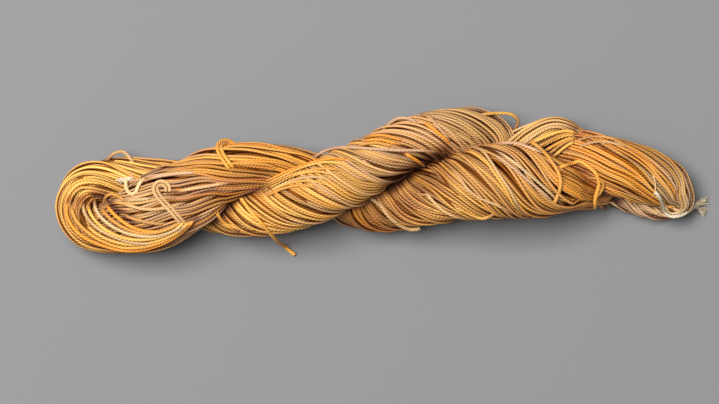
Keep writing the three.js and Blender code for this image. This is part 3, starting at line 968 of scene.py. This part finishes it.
def make_ties(materials, rng):
    """The ties and the loose yarn, and their frayed ends."""
    frays = []
    for tie in TIES:
        strands = tie_strands(tie)
        diameter = tie.diameter / len(strands.centre)
        tube = yarn_tube(strands, diameter, plain_dye(strands, tie.dye, rng))
        made = tube_object(tie.name, [tube], materials[tie.slot])
        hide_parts(tie.node)
        if tie.name in FRAYS:
            fibres = frayed(strands.centre[0], FRAYS[tie.name].headings, rng)
            frays.append(yarn_tube(fibres, FRAY_DIAMETER, plain_dye(fibres, FRAY_DYE, rng), FRAY_SIDES))
    material = yarn_material("linen_frays", FRAY_SHEEN, FRAY_PAINTED_GAP_SHADE, relief_depth=0)
    tube_object("frays", frays, material)


def inner_tube(sections, rng):
    """The next turns down, in longer steps and in the dark, which is less deep in the tucked end."""
    turns = lay_turns(shrunk(sections, UNDER_DEPTH), UNDER_TURNS, rng)
    every = slice(None, None, UNDER_STRIDE)
    fewer = Strands(turns.centre[:, every], turns.out[:, every])
    along = sections.along[every]
    # painted shade on the turns within, less deep in the tucked end
    light = np.interp(along, UNDER_CHANGE, UNDER_LIGHT)
    colour = dyed(along, UNDER_TURNS, RING_PATCHES, rng) * shaded(light)
    return yarn_tube(fewer, TURN, colour, UNDER_SIDES)


def core_tube(sections):
    """A dark tube inside a bundle, painted shade that closes the gaps between its turns."""
    first = (np.maximum(sections.wide - CORE_DEPTH, LEAST_CORE)[:, None] * sections.side)[None]
    second = (np.maximum(sections.tall - CORE_DEPTH, LEAST_CORE)[:, None] * sections.rise)[None]
    colour = np.broadcast_to(linear(CORE_PAINTED_SHADE), first.shape)
    every = slice(None, None, CORE_STRIDE)
    centre = sections.centre[None, every]
    return Tube(centre, first[:, every], second[:, every], colour[:, every], CORE_SIDES)


def slack_tubes(under, rng):
    """The turns that are laid over the others: the sheaves and the slack ones."""
    laid = []
    for sheaf in (LOBE, FAN, EDGE):
        laid += sheaf_turns(sheaf, rng)
    for slack in SLACK:
        flat, _ = spline(slack.route, YARN_STEP, 2)
        laid.append(Laid(flat, slack.diameter, slack.dye, NEST, ROOT_LENGTH))
    tubes = []
    for turn in laid:
        strands, root = laid_on(under, turn.flat, turn.diameter, turn.nest, turn.root_length)
        fading = root[..., None]
        colour = plain_dye(strands, turn.dye, rng) * (1 - fading) + linear(ROOT_DYE) * fading
        tubes.append(yarn_tube(strands, turn.diameter, colour * shaded(1 - ROOT_SHADE * root)))
    return tubes


def make_hank(material, rng):
    """The turns of the ring in several pieces, those of its end loop, those within and the slack ones."""
    ring, loop = bundle(RING), bundle(END_LOOP)
    turns, arch = lay_turns(ring, RING_TURNS, rng), lay_turns(loop, LOOP_TURNS, rng)
    made = []
    # painted shade beside other stretches, in the creases and under the sheaf, multiplied into the dye
    colour = dyed(ring.along, RING_TURNS, RING_PATCHES, rng) * shaded(ring_light(turns, ring, loop))
    diameter = uneven(turns, rng)
    for start in range(RING_PIECES):
        own = slice(start, None, RING_PIECES)
        tube = yarn_tube(Strands(turns.centre[own], turns.out[own]), diameter[own], colour[own])
        made.append(tube_object(f"turns_{start + 1}", [tube], material))
    # painted shade of the end loop where stretches of the ring lie against it
    light = contact_light(arch, loop, far_part(ring))
    colour = dyed(loop.along, LOOP_TURNS, LOOP_PATCHES, rng) * shaded(light)
    tube = yarn_tube(arch, uneven(arch, rng), colour)
    made.append(tube_object("turns_end_loop", [tube], material))
    inside = [inner_tube(ring, rng), core_tube(ring), core_tube(loop)]
    # a shaded copy of the yarn's material, without sheen, for the turns within and the core
    in_shade_copy = yarn_material("linen_in_shade", sheen=0, painted_gap_shade=PAINTED_GAP_SHADE, relief_depth=PLY_RELIEF)
    made.append(tube_object("turns_within", inside, in_shade_copy))
    under = np.concatenate([turns.centre.reshape(-1, 3), arch.centre.reshape(-1, 3)])
    made.append(tube_object("slack_turns", slack_tubes(under, rng), material))
    for piece in made:
        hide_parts("hank")


def make_floor():
    """A plain grey floor."""
    mesh = bpy.data.meshes.new("floor")
    corners = [(x * FLOOR_REACH, y * FLOOR_REACH, 0) for x, y in ((-1, -1), (1, -1), (1, 1), (-1, 1))]
    mesh.from_pydata(corners, [], [(0, 1, 2, 3)])
    floor = bpy.data.objects.new("floor", mesh)
    material, _, shader = new_material("pale_board")
    shader.inputs["Base Color"].default_value = FLOOR_GREY
    shader.inputs["Roughness"].default_value = FLOOR_ROUGHNESS
    shader.inputs["Specular IOR Level"].default_value = FLOOR_SHEEN
    mesh.materials.append(material)
    bpy.context.scene.collection.objects.link(floor)


def make_light():
    """A large soft light and an even sky."""
    world = bpy.data.worlds.new("sky")
    world.use_nodes = True
    background = world.node_tree.nodes["Background"]
    background.inputs["Color"].default_value = (1, 1, 1, 1)
    background.inputs["Strength"].default_value = SKY_STRENGTH
    bpy.context.scene.world = world
    light = bpy.data.lights.new("softbox", "AREA")
    light.size = LAMP_SIZE
    light.energy = LAMP_POWER
    lamp = bpy.data.objects.new("softbox", light)
    lamp.location = LAMP_AT
    bpy.context.scene.collection.objects.link(lamp)


make_camera()
# painted shade on the inner sides of the strands, for each slot's copy of the yarn's material
painted_gap_shades = {"yarn": PAINTED_GAP_SHADE, "cream_tie": TIE_PAINTED_GAP_SHADE, "amber_tie": TIE_PAINTED_GAP_SHADE}
slots = {
    slot: yarn_material("linen_" + slot, YARN_SHEEN, slot_gap_shade, PLY_RELIEF)
    for slot, slot_gap_shade in painted_gap_shades.items()
}
make_ties(slots, np.random.default_rng(TIE_SEED))
make_hank(slots["yarn"], np.random.default_rng(HANK_SEED))
make_floor()
make_light()
bpy.context.scene.view_settings.view_transform = "Standard"
